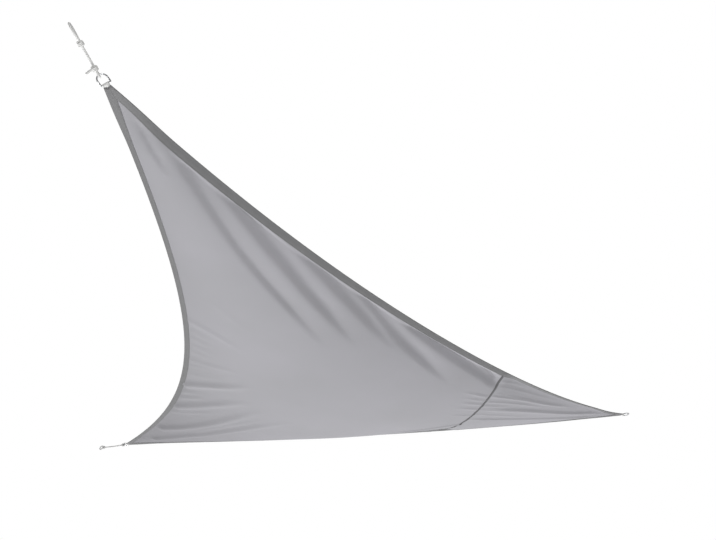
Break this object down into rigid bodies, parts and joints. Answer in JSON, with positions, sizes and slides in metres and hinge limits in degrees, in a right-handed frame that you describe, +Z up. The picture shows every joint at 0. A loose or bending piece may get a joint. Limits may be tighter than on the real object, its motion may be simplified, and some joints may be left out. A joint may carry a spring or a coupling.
{
  "type": "triangular shade sail hung by corner rings",
  "caption": "Three-cornered grey cloth sun shade, hung taut by corner rings, with webbing-bound hollow edges, a cross seam near one corner and ropes tied to the rings.",
  "frame": {"origin": "where the rope bears on the inside of the high ring's far side, which is the point that holds the sail's highest corner", "axes": "+Z up; +X to the right and +Y away from a viewer who stands below and in front of the high corner; the low corner is at -X +Y and the right corner at +X +Y"},
  "size_m": [3.8207, 3.8341, 0.9691],
  "materials": {
    "cloth": "mid-grey plain-woven polyester, dull",
    "webbing": "dark grey woven edge webbing, dull",
    "tab": "off-white woven tape",
    "steel": "polished stainless wire",
    "rope": "off-white braided polyester cord"
  },
  "bodies": {
    "root": {"panel_main": "cloth", "panel_corner": "cloth", "webbing_high_low": "webbing", "webbing_low_right": "webbing", "webbing_high_right": "webbing", "tab_high": "tab", "tab_low": "tab", "tab_right": "tab", "ring_high": "steel", "ring_low": "steel", "ring_right": "steel", "rope_high": "rope", "rope_high_loop": "rope", "rope_high_knot": "rope", "rope_high_end_knot": "rope", "rope_high_eye": "rope", "rope_high_tail": "rope", "rope_low": "rope", "rope_low_loop": "rope", "rope_low_knot": "rope", "rope_low_end_knot": "rope", "rope_low_eye": "rope"}
  },
  "joints": []
}
